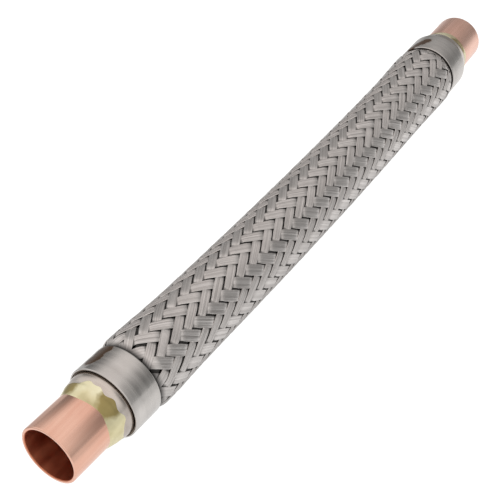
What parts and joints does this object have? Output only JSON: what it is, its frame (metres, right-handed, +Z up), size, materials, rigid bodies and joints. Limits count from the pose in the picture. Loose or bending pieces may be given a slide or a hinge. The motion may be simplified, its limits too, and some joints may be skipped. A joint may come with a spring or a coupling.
{
  "type": "braided vibration eliminator",
  "caption": "Flexible braided hose connector with copper solder sockets at both ends, which takes up vibration in a refrigerant line.",
  "frame": {"origin": "under the middle of the part, on the surface that it lies on", "axes": "+X along the hose from the near end to the far end, +Z up; the hose bows slightly towards -Y and down"},
  "size_m": [0.2482, 0.0238, 0.0232],
  "materials": {
    "copper": "bare drawn copper tube, satin, with fine lengthwise draw marks and a darker bore",
    "braze": "pale yellow braze alloy, wetted out unevenly, with olive-brown heat stain",
    "nipple_steel": "stainless steel, heat-tinted beside the braze",
    "collar_steel": "stainless steel band, softly brushed, with a bronze heat-tint patch",
    "braid_wire": "bright drawn stainless wire, laid side by side in flat strands",
    "hose_steel": "dull stainless steel corrugations"
  },
  "bodies": {
    "root": {"near_copper_tube": "copper", "near_braze_ring": "braze", "near_end_nipple": "nipple_steel", "near_braid_collar": "collar_steel", "far_copper_tube": "copper", "far_braze_ring": "braze", "far_end_nipple": "nipple_steel", "far_braid_collar": "collar_steel", "corrugated_hose": "hose_steel", "braid_sleeve": "braid_wire"}
  },
  "joints": []
}
